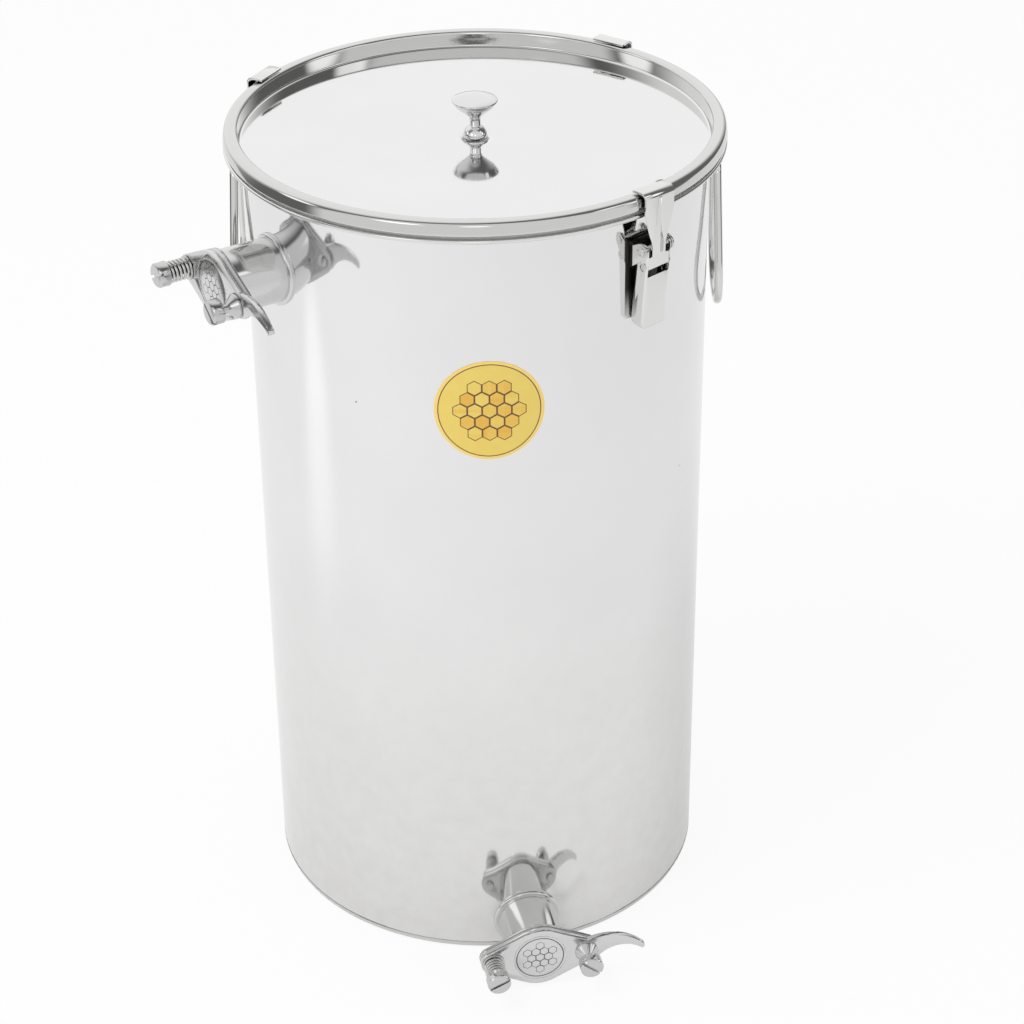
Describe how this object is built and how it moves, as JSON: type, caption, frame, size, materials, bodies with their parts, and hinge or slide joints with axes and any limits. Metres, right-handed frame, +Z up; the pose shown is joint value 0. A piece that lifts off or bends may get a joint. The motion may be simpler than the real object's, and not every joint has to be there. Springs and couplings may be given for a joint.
{
  "type": "honey straining can",
  "caption": "Polished stainless honey can with spring-loaded honey gates at top and bottom, a gasketed lid with toggle latches, swinging handles and a hanging strainer basket.",
  "frame": {"origin": "middle of the can's flat floor, on the can's axis", "axes": "+Z up along the can's axis, -Y out through the lower honey gate, +X to the right of someone facing that gate"},
  "size_m": [0.453, 0.4524, 0.6883],
  "materials": {
    "stainless": "polished",
    "silicone": "satin silicone",
    "label_film": "glossy printed film"
  },
  "bodies": {
    "can": {"tank_shell": "stainless", "tank_rim": "stainless", "tank_floor": "stainless", "front_label": "label_film", "strainer_basket": "stainless", "strainer_rim": "stainless", "strainer_lugs": "stainless", "lower_gate_outlet": "stainless", "lower_gate_flange": "stainless", "lower_gate_pivot_bolt": "stainless", "lower_gate_spring": "stainless", "lower_gate_spring_washer": "stainless", "upper_gate_outlet": "stainless", "upper_gate_flange": "stainless", "upper_gate_pivot_bolt": "stainless", "upper_gate_spring": "stainless", "upper_gate_spring_washer": "stainless", "front_latch_base": "stainless", "front_latch_studs": "stainless", "front_latch_pivot_pin": "stainless", "right_latch_base": "stainless", "right_latch_studs": "stainless", "right_latch_pivot_pin": "stainless", "left_latch_base": "stainless", "left_latch_studs": "stainless", "left_latch_pivot_pin": "stainless", "right_handle_bracket": "stainless", "left_handle_bracket": "stainless"},
    "lid": {"lid_pan": "stainless", "lid_gasket": "silicone", "lid_knob": "stainless", "knob_screw": "stainless", "knob_washer": "stainless"},
    "front_lever": {"front_latch_lever": "stainless", "front_latch_hook_pin": "stainless"},
    "front_hook": {"front_latch_hook": "stainless"},
    "right_lever": {"right_latch_lever": "stainless", "right_latch_hook_pin": "stainless"},
    "right_hook": {"right_latch_hook": "stainless"},
    "left_lever": {"left_latch_lever": "stainless", "left_latch_hook_pin": "stainless"},
    "left_hook": {"left_latch_hook": "stainless"},
    "lower_blade": {"lower_gate_blade": "stainless"},
    "lower_lock": {"lower_gate_lock_screw": "stainless"},
    "upper_blade": {"upper_gate_blade": "stainless"},
    "upper_lock": {"upper_gate_lock_screw": "stainless"},
    "right_handle": {"right_handle_ring": "stainless"},
    "left_handle": {"left_handle_ring": "stainless"}
  },
  "joints": [
    {"name": "lid_lift", "type": "slide", "parent": "can", "child": "lid", "axis": [0, 0, 1], "range_m": [0, 0.01225]},
    {"name": "front_latch_lever_swing", "type": "hinge", "parent": "can", "child": "front_lever", "pos_m": [0.10144, -0.1636, 0.6263], "axis": [-0.8499, -0.527, 0], "range_deg": [0, 88]},
    {"name": "front_latch_hook_swing", "type": "hinge", "parent": "front_lever", "child": "front_hook", "pos_m": [0.10191, -0.16437, 0.6133], "axis": [0.8499, 0.527, 0], "range_deg": [0, 123.2]},
    {"name": "right_latch_lever_swing", "type": "hinge", "parent": "can", "child": "right_lever", "pos_m": [0.14033, 0.13178, 0.6263], "axis": [0.6845, -0.729, 0], "range_deg": [0, 88]},
    {"name": "right_latch_hook_swing", "type": "hinge", "parent": "right_lever", "child": "right_hook", "pos_m": [0.14098, 0.13239, 0.6133], "axis": [-0.6845, 0.729, 0], "range_deg": [0, 123.2]},
    {"name": "left_latch_lever_swing", "type": "hinge", "parent": "can", "child": "left_lever", "pos_m": [-0.1496, 0.12114, 0.6263], "axis": [0.6293, 0.7771, 0], "range_deg": [0, 88]},
    {"name": "left_latch_hook_swing", "type": "hinge", "parent": "left_lever", "child": "left_hook", "pos_m": [-0.1503, 0.12171, 0.6133], "axis": [-0.6293, -0.7771, 0], "range_deg": [0, 123.2]},
    {"name": "lower_gate_swing", "type": "hinge", "parent": "can", "child": "lower_blade", "pos_m": [-0.0387, -0.2273, 0.03], "axis": [0, -1, 0], "range_deg": [0, 95]},
    {"name": "lower_gate_lock_turn", "type": "hinge", "parent": "can", "child": "lower_lock", "pos_m": [0.0387, -0.227, 0.03], "axis": [0, -1, 0], "range_deg": [0, 360]},
    {"name": "upper_gate_swing", "type": "hinge", "parent": "can", "child": "upper_blade", "pos_m": [-0.2255, -0.04809, 0.59], "axis": [-0.9291, -0.3697, 0], "range_deg": [0, 95]},
    {"name": "upper_gate_lock_turn", "type": "hinge", "parent": "can", "child": "upper_lock", "pos_m": [-0.1966, -0.11989, 0.59], "axis": [-0.9291, -0.3697, 0], "range_deg": [0, 360]},
    {"name": "right_handle_swing", "type": "hinge", "parent": "can", "child": "right_handle", "pos_m": [0.18129, -0.03688, 0.637], "axis": [-0.1994, -0.9799, 0], "range_deg": [0, 95]},
    {"name": "left_handle_swing", "type": "hinge", "parent": "can", "child": "left_handle", "pos_m": [-0.18129, 0.03688, 0.637], "axis": [0.1994, 0.9799, 0], "range_deg": [0, 95]}
  ],
  "couplings": [
    {"joint": "front_latch_lever_swing", "follows": "lid_lift", "rad_per_m": 125},
    {"joint": "front_latch_hook_swing", "follows": "lid_lift", "rad_per_m": 175},
    {"joint": "right_latch_lever_swing", "follows": "lid_lift", "rad_per_m": 125},
    {"joint": "right_latch_hook_swing", "follows": "lid_lift", "rad_per_m": 175},
    {"joint": "left_latch_lever_swing", "follows": "lid_lift", "rad_per_m": 125},
    {"joint": "left_latch_hook_swing", "follows": "lid_lift", "rad_per_m": 175}
  ]
}
